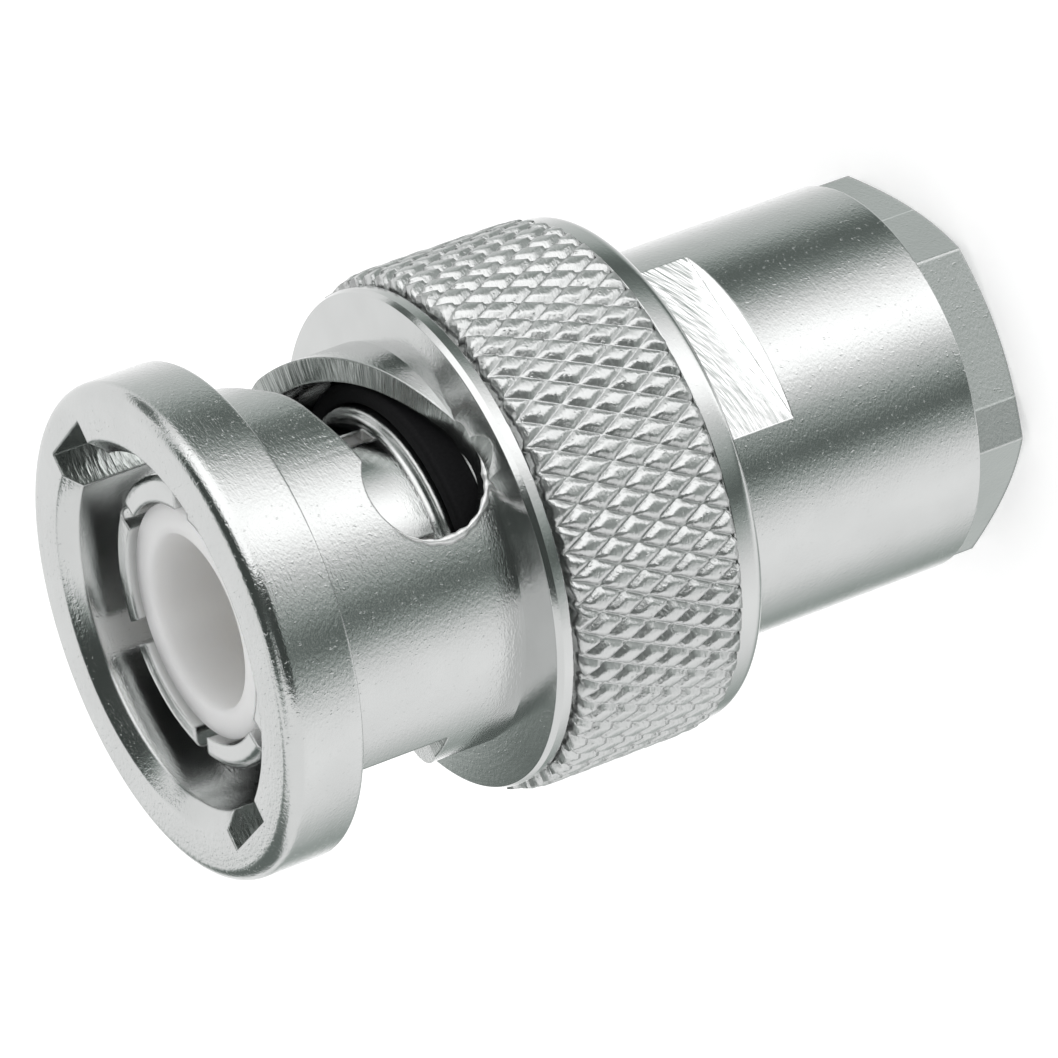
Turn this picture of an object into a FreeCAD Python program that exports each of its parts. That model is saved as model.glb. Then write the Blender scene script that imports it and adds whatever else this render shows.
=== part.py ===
import FreeCAD, Part
import math
import os

# A straight coaxial cable plug with a bayonet coupling sleeve and a screwed cable gland.
# Millimetres. The plug stands on its gland nut with the mating end up, so +Z points out of
# the mating end. Depths below are measured back from the mating face of the sleeve.
# Angles are measured round +Z from +X. The +X side is the side that shows a bayonet window.

# Coupling sleeve, outside, from the mating face back
collar_diameter = 13.72
collar_length = 2.17
collar_rounding = 0.4
neck_diameter = 11.2
neck_length = 5.83
neck_fillet = 0.65
rim_diameter = 13.9
rim_width = 0.35
knurl_groove_diameter = 13.7
knurl_lead_in = 0.25
knurl_diameter = 14.5
knurl_depth = 0.16
knurl_length = 4.83
knurl_rows = 7
knurl_count = 60
knurl_flat_share = 0.62
knurl_angle = -1.3
knurl_run_out = 0.07
band_diameter = 14.24
band_width = 0.8
band_rounding = 0.35
edge_break = 0.06

# Coupling sleeve, inside
sleeve_bore = 9.84
mouth_chamfer = 0.43
lip_length = 3.3
recess_depth = 1.0

# Bayonet tracks: an entry groove, a ramp and a round detent, twice round the sleeve
track_count = 2
entry_angle = 102.4
entry_width = 2.42
entry_floor_diameter = 11.66
entry_rear_depth = 5.72
detent_angle = 15.3
detent_depth = 6.27
detent_diameter = 3.34

# The two edges of the ramp as (angle, depth) pairs, from the entry groove to the detent
ramp_front_edge = [(102.4, 3.3), (84, 3.65), (70, 3.95), (58, 4.43), (42, 4.66), (27, 4.92), (15.3, 5)]
ramp_rear_edge = [(102.4, 5.72), (64, 6.79), (34, 7.62), (26, 7.84), (15.3, 7.92)]

# Outer contact: slotted barrel, flange and hub turned from one bar
barrel_diameter = 8.1
barrel_inner_diameter = 6.7
barrel_setback = 1.0
barrel_tip_rounding = 0.28
finger_waist_diameter = 7.5
finger_tip_length = 1.3
finger_count = 6
finger_slot_width = 0.65
finger_slot_length = 5.7
finger_slot_angle = 55.5
finger_root_land = 0.25
finger_root_fillet = 0.12
flange_diameter = 9.6
flange_thickness = 0.75
hub_diameter = 8.0
hub_rear_bore = 5.8

# Spring stack and seal between the flange and the sleeve's lip
gasket_diameter = 9.3
gasket_thickness = 0.83
wave_washer_height = 0.5
wave_washer_thickness = 0.16
wave_count = 3
thrust_washer_thickness = 0.3
washer_diameter = 9.4

# Insulators and centre contact
insulator_diameter = 6.5
insulator_setback = 1.2
insulator_cup_diameter = 4.86
insulator_cup_depth = 5.3
insulator_step_depth = 12.0
rear_insulator_length = 3.0
pin_diameter = 1.35
pin_setback = 2.6
pin_tip_rounding = 0.3
contact_flange_diameter = 2.6
contact_flange_thickness = 0.8
contact_barrel_diameter = 2.0
contact_barrel_length = 4.2
solder_bore = 1.24
solder_bore_depth = 3.2
solder_hole_diameter = 0.5

# Plug body
body_diameter = 10.96
body_length = 8.95
flat_width_across = 9.4
flat_length = 3.57
flat_angle = 27.4
gland_thread_bore = 8.8

# Cable gland: braid clamp, rubber ring, washer and nut
cable_diameter = 5.0
clamp_nose_diameter = 4.2
clamp_nose_root_diameter = 5.4
clamp_nose_length = 1.7
clamp_bore = 3.4
clamp_flange_thickness = 0.7
clamp_ridge = 0.35
clamp_nose_gap = 0.3
braid_gap = 0.55
gland_gasket_thickness = 1.6
gland_washer_thickness = 0.4
nut_across_flats = 9.3
nut_hex_length = 1.8
nut_corner_chamfer = 0.37
nut_face_diameter = 8.9
nut_angle = 26.6
nut_bore_chamfer = 0.3

# Clearances on the radius
fit_clearance = 0.02
bearing_clearance = 0.05
thread_clearance = 0.05
recess_clearance = 0.12
cable_clearance = 0.25

# Stations worked out from the sizes above, as depths behind the mating face
shoulder_depth = collar_length + neck_length
rim_rear_depth = shoulder_depth + rim_width
knurl_depth_start = rim_rear_depth + knurl_lead_in
knurl_depth_end = knurl_depth_start + knurl_length
band_front_depth = knurl_depth_end + knurl_run_out
sleeve_length = band_front_depth + band_width
body_front_depth = sleeve_length - recess_depth
lip_front_depth = body_front_depth - lip_length
thrust_front_depth = lip_front_depth - thrust_washer_thickness
wave_rear_front_depth = thrust_front_depth - wave_washer_height
flange_rear_depth = wave_rear_front_depth - wave_washer_height
flange_front_depth = flange_rear_depth - flange_thickness
gasket_front_depth = flange_front_depth - gasket_thickness
body_rear_depth = body_front_depth + body_length
total_length = body_rear_depth + nut_hex_length
rear_insulator_depth = insulator_step_depth + rear_insulator_length
clamp_flange_depth = rear_insulator_depth + clamp_nose_gap + clamp_nose_length
hub_rear_depth = clamp_flange_depth - braid_gap
gland_gasket_depth = clamp_flange_depth + clamp_flange_thickness
gland_washer_depth = gland_gasket_depth + gland_gasket_thickness
nut_front_depth = gland_washer_depth + gland_washer_thickness
contact_flange_depth = insulator_step_depth + fit_clearance

# Radii that several pieces share
knurl_groove_radius = knurl_groove_diameter / 2
cable_hole_radius = cable_diameter / 2 + cable_clearance
gland_ring_radius = gland_thread_bore / 2 - thread_clearance
beyond_sleeve = knurl_diameter
sewing_tolerance = 1e-5


def at_depth(depth):
    """The height above the nut's rear face of a depth behind the mating face."""
    return total_length - depth


def polar(radius, angle_degrees, height):
    angle = math.radians(angle_degrees)
    return FreeCAD.Vector(radius * math.cos(angle), radius * math.sin(angle), height)


def outline(corners):
    """A closed wire through (radius, depth, rounding) corners, each rounded by its own arc.

    It lies on the -X side, so that the seams of the turned faces are away from the window.
    """
    points = [FreeCAD.Vector(-radius, 0, at_depth(depth)) for radius, depth, rounding in corners]
    edges = []
    ends = []
    for index, point in enumerate(points):
        rounding = corners[index][2]
        if rounding == 0:
            ends.append((point, point))
            continue
        back = (points[index - 1] - point).normalize()
        ahead = (points[(index + 1) % len(points)] - point).normalize()
        half_angle = back.getAngle(ahead) / 2
        reach = rounding / math.tan(half_angle)
        centre = point + (back + ahead).normalize() * (rounding / math.sin(half_angle))
        start = point + back * reach
        end = point + ahead * reach
        middle = centre + (point - centre).normalize() * rounding
        edges.append(Part.Arc(start, middle, end).toShape())
        ends.append((start, end))
    for index in range(len(points)):
        start = ends[index - 1][1]
        end = ends[index][0]
        if start.distanceToPoint(end) > 1e-6:
            edges.append(Part.makeLine(start, end))
    return Part.Wire(Part.__sortEdges__(edges))


def turned(corners):
    """A solid of revolution about Z from its half section."""
    face = Part.Face(outline(corners))
    return face.revolve(FreeCAD.Vector(0, 0, 0), FreeCAD.Vector(0, 0, 1), 360)


def radial_box(angle, width, inner_radius, outer_radius, front_depth, rear_depth):
    """A box that runs out along one angle, centred on it, between two depths."""
    box = Part.makeBox(
        outer_radius - inner_radius,
        width,
        rear_depth - front_depth,
        FreeCAD.Vector(inner_radius, -width / 2, at_depth(rear_depth)),
    )
    box.rotate(FreeCAD.Vector(0, 0, 0), FreeCAD.Vector(0, 0, 1), angle)
    return box


def plane_face(points):
    return Part.Face(Part.makePolygon(points + points[:1]))


def sewn_solid(faces):
    """The solid that a closed set of faces bounds."""
    shell = Part.makeShell(faces)
    shell.sewShape()
    solid = Part.makeSolid(shell)
    solid.fix(sewing_tolerance, sewing_tolerance, sewing_tolerance)
    return solid


def sleeve_blank():
    """The sleeve as turned, before its knurl and tracks."""
    bore = sleeve_bore / 2
    lip_bore = hub_diameter / 2 + bearing_clearance
    recess = body_diameter / 2 + recess_clearance
    return turned([
        (bore + mouth_chamfer, 0, 0),
        (collar_diameter / 2, 0, collar_rounding),
        (collar_diameter / 2, collar_length, edge_break),
        (neck_diameter / 2, collar_length, edge_break),
        (neck_diameter / 2, shoulder_depth, neck_fillet),
        (rim_diameter / 2, shoulder_depth, edge_break),
        (rim_diameter / 2, rim_rear_depth, 0),
        (knurl_groove_radius, rim_rear_depth, 0),
        (knurl_groove_radius, band_front_depth, 0),
        (band_diameter / 2, band_front_depth, 0),
        (band_diameter / 2, sleeve_length, band_rounding),
        (recess, sleeve_length, edge_break),
        (recess, body_front_depth, 0),
        (lip_bore, body_front_depth, 0),
        (lip_bore, lip_front_depth, 0),
        (bore, lip_front_depth, 0),
        (bore, mouth_chamfer, 0),
    ])


def diamond_corners():
    """Half length and half width of a knurl diamond's flat top, sized so that its flanks are plane."""
    crest = knurl_diameter / 2
    root = crest - knurl_depth
    half_length = knurl_length / knurl_rows
    half_step = math.pi / knurl_count
    top_length = half_length * knurl_flat_share
    drop = crest - root
    slope = (half_length - top_length) * (crest - root * math.cos(half_step)) + top_length * drop
    top_width = top_length * drop * root * math.sin(half_step) / slope
    return half_length, top_length, top_width


def knurl_faces():
    """Every face of the knurl: diamonds with flat tops between two crossing sets of V grooves."""
    crest = knurl_diameter / 2
    root = crest - knurl_depth
    half_length, top_length, top_width = diamond_corners()
    step = 360 / knurl_count
    faces = []

    def place(x, y, depth, angle):
        turn = math.radians(angle)
        return FreeCAD.Vector(
            x * math.cos(turn) - y * math.sin(turn),
            x * math.sin(turn) + y * math.cos(turn),
            at_depth(depth),
        )

    for row in range(knurl_rows + 1):
        depth = knurl_depth_start + row * half_length
        for column in range(knurl_count):
            angle = knurl_angle + (column + (row + 1) % 2 / 2) * step
            left = place(crest, -top_width, depth, angle)
            right = place(crest, top_width, depth, angle)
            left_root = polar(root, angle - step / 2, at_depth(depth))
            right_root = polar(root, angle + step / 2, at_depth(depth))
            top = [left, right]
            for side in (-1, 1):
                if not 0 <= row + side <= knurl_rows:
                    continue
                tip = place(crest, 0, depth + side * top_length, angle)
                tip_root = polar(root, angle, at_depth(depth + side * half_length))
                top.insert(1 if side < 0 else len(top), tip)
                faces.append(plane_face([left, tip, tip_root, left_root]))
                faces.append(plane_face([right, tip, tip_root, right_root]))
            faces.append(plane_face(top))
    return faces


def knurl_end(row, depth):
    """The flat ring at one end of the knurl, from its zigzag edge down to the groove beside it."""
    crest = knurl_diameter / 2
    root = crest - knurl_depth
    top_width = diamond_corners()[2]
    step = 360 / knurl_count
    reach = math.hypot(crest, top_width)
    spread = math.degrees(math.atan2(top_width, crest))
    zigzag = []
    for column in range(knurl_count):
        angle = knurl_angle + (column + (row + 1) % 2 / 2) * step
        zigzag.append(polar(root, angle - step / 2, at_depth(depth)))
        zigzag.append(polar(reach, angle - spread, at_depth(depth)))
        zigzag.append(polar(reach, angle + spread, at_depth(depth)))
    edge = Part.makePolygon(zigzag + zigzag[:1])
    hole = Part.Wire(Part.makeCircle(knurl_groove_radius, FreeCAD.Vector(0, 0, at_depth(depth))))
    return Part.Face([edge, hole])


def land(front_depth, rear_depth):
    """The plain cylinder beside the knurl, between two depths."""
    strip = Part.makeCylinder(
        knurl_groove_radius, rear_depth - front_depth, FreeCAD.Vector(0, 0, at_depth(rear_depth))
    )
    return strip.Faces[0]


def knurled(blank):
    """The cut blank with its plain knurl band replaced by the knurl."""
    kept = []
    for face in blank.Faces:
        plain = face.Surface.TypeId == "Part::GeomCylinder"
        if plain and abs(face.Surface.Radius - knurl_groove_radius) < 1e-6:
            continue
        kept.append(face)
    kept.append(land(rim_rear_depth, knurl_depth_start))
    kept.append(land(knurl_depth_end, band_front_depth))
    kept.append(knurl_end(0, knurl_depth_start))
    kept.append(knurl_end(knurl_rows, knurl_depth_end))
    return sewn_solid(kept + knurl_faces())


def ramp_edge(edge_points, radius):
    """One edge of the ramp at one radius."""
    curve = Part.BSplineCurve()
    curve.interpolate([polar(radius, angle, at_depth(depth)) for angle, depth in edge_points])
    return curve.toShape()


def ramp_cutter():
    """The space between the ramp's two edges, cut radially through the wall."""
    inner = sleeve_bore / 2 - 1
    outer = beyond_sleeve / 2 + 1
    front_inner = ramp_edge(ramp_front_edge, inner)
    front_outer = ramp_edge(ramp_front_edge, outer)
    rear_inner = ramp_edge(ramp_rear_edge, inner)
    rear_outer = ramp_edge(ramp_rear_edge, outer)
    faces = [
        Part.makeRuledSurface(front_inner, front_outer),
        Part.makeRuledSurface(rear_inner, rear_outer),
        Part.makeRuledSurface(front_inner, rear_inner),
        Part.makeRuledSurface(front_outer, rear_outer),
    ]
    for end in (0, -1):
        corners = [
            edge.Vertexes[end].Point for edge in (front_inner, front_outer, rear_outer, rear_inner)
        ]
        faces.append(plane_face(corners))
    return sewn_solid(faces)


def track_cutters():
    """One bayonet track: entry groove from the mouth, ramp, and the detent's round hole."""
    entry = radial_box(
        entry_angle, entry_width, sleeve_bore / 2 - 1, entry_floor_diameter / 2, -1, entry_rear_depth
    )
    detent = Part.makeCylinder(
        detent_diameter / 2,
        beyond_sleeve / 2,
        FreeCAD.Vector(sleeve_bore / 2 - 1, 0, at_depth(detent_depth)),
        FreeCAD.Vector(1, 0, 0),
    )
    detent.rotate(FreeCAD.Vector(0, 0, 0), FreeCAD.Vector(0, 0, 1), detent_angle)
    return [entry, ramp_cutter(), detent]


def coupling_sleeve():
    sleeve = sleeve_blank()
    for track in range(track_count):
        for cutter in track_cutters():
            cutter.rotate(FreeCAD.Vector(0, 0, 0), FreeCAD.Vector(0, 0, 1), track * 360 / track_count)
            sleeve = sleeve.cut(cutter)
    return knurled(sleeve)


def outer_contact():
    barrel = barrel_diameter / 2
    root_depth = barrel_setback + finger_slot_length + finger_root_land
    blank = turned([
        (barrel_inner_diameter / 2, barrel_setback, 0),
        (barrel, barrel_setback, barrel_tip_rounding),
        (barrel, barrel_setback + finger_tip_length, 0),
        (finger_waist_diameter / 2, barrel_setback + finger_tip_length * 1.2, 0),
        (finger_waist_diameter / 2, root_depth, finger_root_fillet),
        (barrel, root_depth, edge_break),
        (barrel, flange_front_depth, 0),
        (flange_diameter / 2, flange_front_depth, 0),
        (flange_diameter / 2, flange_rear_depth, 0),
        (hub_diameter / 2, flange_rear_depth, 0),
        (hub_diameter / 2, hub_rear_depth, edge_break),
        (hub_rear_bore / 2, hub_rear_depth, edge_break),
        (hub_rear_bore / 2, insulator_step_depth, 0),
        (insulator_diameter / 2 + fit_clearance, insulator_step_depth, 0),
        (insulator_diameter / 2 + fit_clearance, root_depth, 0),
        (barrel_inner_diameter / 2, root_depth, 0),
    ])
    slots = []
    for finger in range(finger_count):
        angle = finger_slot_angle + finger * 360 / finger_count
        slots.append(radial_box(
            angle, finger_slot_width, 0, barrel + 1,
            barrel_setback - 1, barrel_setback + finger_slot_length,
        ))
    return blank.cut(slots)


def front_insulator():
    outer = insulator_diameter / 2
    cup = insulator_cup_diameter / 2
    hole = pin_diameter / 2 + fit_clearance
    cup_floor = insulator_setback + insulator_cup_depth
    return turned([
        (cup, insulator_setback, edge_break),
        (outer, insulator_setback, edge_break),
        (outer, insulator_step_depth, 0),
        (hole, insulator_step_depth, 0),
        (hole, cup_floor, 0),
        (cup, cup_floor, 0),
    ])


def rear_insulator():
    outer = hub_rear_bore / 2 - fit_clearance
    pocket = contact_flange_diameter / 2 + fit_clearance
    pocket_rear = contact_flange_depth + contact_flange_thickness + fit_clearance
    hole = contact_barrel_diameter / 2 + fit_clearance
    return turned([
        (pocket, insulator_step_depth, 0),
        (outer, insulator_step_depth, 0),
        (outer, rear_insulator_depth, edge_break),
        (hole, rear_insulator_depth, 0),
        (hole, pocket_rear, 0),
        (pocket, pocket_rear, 0),
    ])


def centre_contact():
    pin = pin_diameter / 2
    barrel = contact_barrel_diameter / 2
    flange_rear = contact_flange_depth + contact_flange_thickness
    barrel_rear = flange_rear + contact_barrel_length
    bore_front = barrel_rear - solder_bore_depth
    contact = turned([
        (0, pin_setback, 0),
        (pin, pin_setback, pin_tip_rounding),
        (pin, contact_flange_depth, 0),
        (contact_flange_diameter / 2, contact_flange_depth, 0),
        (contact_flange_diameter / 2, flange_rear, 0),
        (barrel, flange_rear, 0),
        (barrel, barrel_rear, edge_break),
        (solder_bore / 2, barrel_rear, 0),
        (solder_bore / 2, bore_front, 0),
        (0, bore_front, 0),
    ])
    hole = Part.makeCylinder(
        solder_hole_diameter / 2,
        barrel + 1,
        FreeCAD.Vector(0, 0, at_depth(bore_front + solder_hole_diameter)),
        FreeCAD.Vector(1, 0, 0),
    )
    return contact.cut(hole)


def interface_gasket():
    rounding = gasket_thickness / 5
    return turned([
        (barrel_diameter / 2 + fit_clearance, gasket_front_depth, rounding),
        (gasket_diameter / 2, gasket_front_depth, rounding),
        (gasket_diameter / 2, flange_front_depth, 0),
        (barrel_diameter / 2 + fit_clearance, flange_front_depth, 0),
    ])


def wave_washer(front_depth):
    """A flat ring bent into waves, so that its height is more than its thickness."""
    inner = hub_diameter / 2 + bearing_clearance
    outer = washer_diameter / 2
    swing = (wave_washer_height - wave_washer_thickness) / 2
    steps = wave_count * 8
    sides = {}
    for name, radius in (("inner", inner), ("outer", outer)):
        for level in (0, 1):
            points = []
            for step in range(steps):
                angle = step * 360 / steps
                rise = swing * (1 + math.cos(math.radians(angle * wave_count)))
                depth = front_depth + wave_washer_height - rise - level * wave_washer_thickness
                points.append(polar(radius, angle, at_depth(depth)))
            curve = Part.BSplineCurve()
            curve.interpolate(points, PeriodicFlag=True)
            sides[name, level] = curve.toShape()
    faces = [
        Part.makeRuledSurface(sides["inner", 0], sides["outer", 0]),
        Part.makeRuledSurface(sides["inner", 1], sides["outer", 1]),
        Part.makeRuledSurface(sides["inner", 0], sides["inner", 1]),
        Part.makeRuledSurface(sides["outer", 0], sides["outer", 1]),
    ]
    return sewn_solid(faces)


def thrust_washer():
    inner = hub_diameter / 2 + bearing_clearance
    return turned([
        (inner, thrust_front_depth, 0),
        (washer_diameter / 2, thrust_front_depth, 0),
        (washer_diameter / 2, lip_front_depth, 0),
        (inner, lip_front_depth, 0),
    ])


def plug_body():
    outer = body_diameter / 2
    blank = turned([
        (hub_diameter / 2 + fit_clearance, body_front_depth, 0),
        (outer, body_front_depth, edge_break),
        (outer, body_rear_depth, edge_break),
        (gland_thread_bore / 2, body_rear_depth, 0),
        (gland_thread_bore / 2, hub_rear_depth, 0),
        (hub_diameter / 2 + fit_clearance, hub_rear_depth, 0),
    ])
    flats = []
    for side in (0, 180):
        flats.append(radial_box(
            flat_angle + side, body_diameter, flat_width_across / 2, body_diameter,
            body_front_depth - 1, body_front_depth + flat_length,
        ))
    return blank.cut(flats)


def braid_clamp():
    bore = clamp_bore / 2
    flange_rear = clamp_flange_depth + clamp_flange_thickness
    ridge_middle = (cable_hole_radius + gland_ring_radius) / 2
    return turned([
        (bore, clamp_flange_depth - clamp_nose_length, 0),
        (clamp_nose_diameter / 2, clamp_flange_depth - clamp_nose_length, 0),
        (clamp_nose_root_diameter / 2, clamp_flange_depth, 0),
        (gland_ring_radius, clamp_flange_depth, 0),
        (gland_ring_radius, flange_rear, 0),
        (ridge_middle + clamp_ridge, flange_rear, 0),
        (ridge_middle, flange_rear + clamp_ridge, 0),
        (ridge_middle - clamp_ridge, flange_rear, 0),
        (bore, flange_rear, 0),
    ])


def cable_gasket():
    middle = (cable_hole_radius + gland_ring_radius) / 2
    return turned([
        (cable_hole_radius, gland_gasket_depth, 0),
        (middle - clamp_ridge, gland_gasket_depth, 0),
        (middle, gland_gasket_depth + clamp_ridge, 0),
        (middle + clamp_ridge, gland_gasket_depth, 0),
        (gland_ring_radius, gland_gasket_depth, 0),
        (gland_ring_radius, gland_washer_depth, 0),
        (cable_hole_radius, gland_washer_depth, 0),
    ])


def gland_washer():
    return turned([
        (cable_hole_radius, gland_washer_depth, 0),
        (gland_ring_radius, gland_washer_depth, 0),
        (gland_ring_radius, nut_front_depth, 0),
        (cable_hole_radius, nut_front_depth, 0),
    ])


def gland_nut():
    corner = nut_across_flats / math.sqrt(3)
    face = nut_face_diameter / 2
    hexagon = []
    for side in range(6):
        hexagon.append(polar(corner, nut_angle + side * 60, at_depth(total_length)))
    head = plane_face(hexagon).extrude(FreeCAD.Vector(0, 0, nut_hex_length))
    turned_head = turned([
        (0, body_rear_depth, 0),
        (corner, body_rear_depth, 0),
        (corner, total_length - nut_corner_chamfer, 0),
        (face, total_length, 0),
        (0, total_length, 0),
    ])
    shank = turned([
        (0, nut_front_depth, 0),
        (gland_ring_radius, nut_front_depth, edge_break * 3),
        (gland_ring_radius, body_rear_depth, 0),
        (0, body_rear_depth, 0),
    ])
    bore = turned([
        (0, nut_front_depth - 1, 0),
        (cable_hole_radius, nut_front_depth - 1, 0),
        (cable_hole_radius, total_length - nut_bore_chamfer, 0),
        (cable_hole_radius + nut_bore_chamfer, total_length, 0),
        (cable_hole_radius + nut_bore_chamfer, total_length + 1, 0),
        (0, total_length + 1, 0),
    ])
    return head.common(turned_head).fuse(shank).cut(bore).removeSplitter()


def main():
    pieces = {
        "coupling_sleeve": coupling_sleeve(),
        "thrust_washer": thrust_washer(),
        "wave_washer_front": wave_washer(flange_rear_depth),
        "wave_washer_rear": wave_washer(wave_rear_front_depth),
        "interface_gasket": interface_gasket(),
        "outer_contact": outer_contact(),
        "front_insulator": front_insulator(),
        "centre_contact": centre_contact(),
        "rear_insulator": rear_insulator(),
        "plug_body": plug_body(),
        "braid_clamp": braid_clamp(),
        "cable_gasket": cable_gasket(),
        "gland_washer": gland_washer(),
        "gland_nut": gland_nut(),
    }
    os.makedirs("parts", exist_ok=True)
    for name, shape in pieces.items():
        solids = shape.Solids
        solids[0].exportStep("parts/" + name + ".step")
        print(name, len(solids), solids[0].isValid(), round(solids[0].Volume, 3))


main()
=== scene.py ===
import bpy
import bmesh
import math
from mathutils import Matrix, Vector, noise


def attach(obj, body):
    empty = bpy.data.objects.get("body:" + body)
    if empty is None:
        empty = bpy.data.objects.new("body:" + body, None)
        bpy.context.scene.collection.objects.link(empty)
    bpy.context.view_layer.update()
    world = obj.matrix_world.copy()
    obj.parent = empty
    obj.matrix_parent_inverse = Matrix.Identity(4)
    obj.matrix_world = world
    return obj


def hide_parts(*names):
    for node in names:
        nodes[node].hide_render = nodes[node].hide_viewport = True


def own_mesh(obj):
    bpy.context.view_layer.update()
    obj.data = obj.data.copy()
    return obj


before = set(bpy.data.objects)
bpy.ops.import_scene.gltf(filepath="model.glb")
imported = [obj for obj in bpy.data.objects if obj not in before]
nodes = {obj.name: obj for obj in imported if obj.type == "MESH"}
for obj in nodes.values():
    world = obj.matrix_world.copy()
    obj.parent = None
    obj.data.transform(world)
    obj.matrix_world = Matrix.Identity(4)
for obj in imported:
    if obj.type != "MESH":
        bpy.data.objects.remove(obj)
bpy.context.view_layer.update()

MM = 0.001
DEGREES = 180 / math.pi

# The photograph's view: a long lens 25 degrees above the standing plug, rolled so that the
# plug's axis points to the lower left
camera_place = Vector((192.45, -0.70, 104.31)) * MM
camera_right = Vector((0.4028, -0.3437, -0.8483))
camera_up = Vector((0.1474, 0.9391, -0.3104))
lens_pixels = 8000
frame_pixels = 1058
sensor_width = 36

# The sleeve's sizes in millimetres and degrees; depths are measured back from its mating face
total_length = 24.05
collar_diameter = 13.72
collar_length = 2.17
collar_rounding = 0.46
neck_diameter = 11.2
relief_depth = 0.05
relief_width = 0.09
shoulder_front_depth = 7.82
shoulder_rear_depth = 7.98
rim_diameter = 13.9
rim_chamfer = 0.07
rim_chamfer_length = 0.17
rim_rear_depth = 8.46
band_front_depth = 13.5
band_diameter = 14.24
band_rounding = 0.35
sleeve_length = 14.3
bore_diameter = 9.84
mouth_chamfer = 0.43
lip_front_depth = 10.0
body_front_depth = 13.3
lip_bore_diameter = 8.1
recess_diameter = 11.2
turned_steps = 360
arc_step = 8
sharp_angle = 32

# The bayonet tracks: an entry groove, a ramp between two curved edges, and a round detent
entry_angle = 102.4
entry_width = 2.42
entry_floor_radius = 5.83
entry_rear_depth = 5.72
detent_angle = 15.3
detent_depth = 6.27
detent_radius = 1.67
detent_segments = 120
ramp_front_edge = [
    (102.4, 3.3), (84, 3.65), (70, 3.95), (58, 4.43), (42, 4.66), (27, 4.92), (12.5, 5.1),
]
ramp_rear_edge = [(102.4, 5.72), (64, 6.79), (34, 7.62), (26, 7.84), (12.5, 7.8)]
ramp_steps = 60
cut_clearance = 1

# The lip raised round the blind side of each detent; its angles count from the rear point
burr_start = -12
burr_sweep = 165
burr_offset = 0.03
burr_thickness = 0.1
burr_thinning = 0.04
burr_width = 1.2
burr_raggedness = 0.8
burr_ragged_scale = 3.7
burr_steps = 72
burr_sides = 8

# The knurl: its rows lie between two depths, and its ends are eased and ragged
knurl_front_depth = 8.62
knurl_rear_depth = 13.47
knurl_diameter = 14.5
knurl_seat_diameter = 13.1
knurl_overlap = 0.05
knurl_depth = 0.17
knurl_rows = 7
knurl_columns = 60
knurl_angle = -1.3
knurl_dent = 0.045
knurl_dent_scale = 2.9
knurl_weld = 0.002
knurl_lead_in = 0.3
knurl_lead_in_depth = 0.1
knurl_rear_ease = 0.35
knurl_ragged_end = 0.16
knurl_ragged_scale = 3.3
diamond_places = (-1, -0.94, -0.66, -0.34, 0.34, 0.66, 0.94, 1)
diamond_sinks = (1.0, 0.96, 0.13, 0.0, 0.0, 0.13, 0.96, 1.0)

# The wrench flats of the plug body, and the centre of the cutter's sweep over them
wrench_flat_angle = 27.4
wrench_flat_level = 4.7
wrench_flat_end = 16.87
wrench_wall_reach = 0.05
sweep_centre_aside = -2.2
sweep_centre_depth = 8

# Two painted highlight lines along the hex of the nut, by their angles round the axis
painted_highlight_lines = ((55.2, 55.8), (-22.2, -21.6))
# The span of angles round the axis where a painted shade darkens the nut's plate
painted_shade_span = (-33, -22)

# The plate is calm up to the first of these distances from the axis, and sandy past the second
calm_edge = (5.0, 5.25)
calm_strength = 0.3

# How bright the studio tent is for the nickel, which gives back two thirds of it
tent_level = 1.24

# The lower ring of the tent: a level at each azimuth round the plug
ring_levels = [
    (-180, 1.1), (-168, 1.05), (-155, 0.42), (-145, 0.29), (-122, 0.56), (-105, 0.78),
    (-80, 0.87), (-62, 0.82), (-50, 0.62), (-40, 0.34), (-28, 0.085), (-18, 0.2),
    (-4, 0.5), (8, 0.74), (18, 1.17), (30, 1.38), (42, 1.15), (52, 0.85),
    (62, 0.55), (74, 0.2), (88, 0.11), (98, 0.17), (112, 0.45), (135, 0.6),
    (155, 0.82), (180, 1.1),
]


def add_object(name, data):
    piece = bpy.data.objects.new(name, data)
    bpy.context.scene.collection.objects.link(piece)
    return piece


def add_camera():
    data = bpy.data.cameras.new("photo_camera")
    data.sensor_fit = "HORIZONTAL"
    data.sensor_width = sensor_width
    data.lens = lens_pixels / frame_pixels * sensor_width
    data.clip_start = 0.01
    data.clip_end = 5
    camera = add_object("photo_camera", data)
    right = camera_right.normalized()
    back = right.cross(camera_up).normalized()
    up = back.cross(right)
    turn = Matrix((right, up, back)).transposed().to_4x4()
    camera.matrix_world = Matrix.Translation(camera_place) @ turn
    bpy.context.scene.camera = camera


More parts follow.
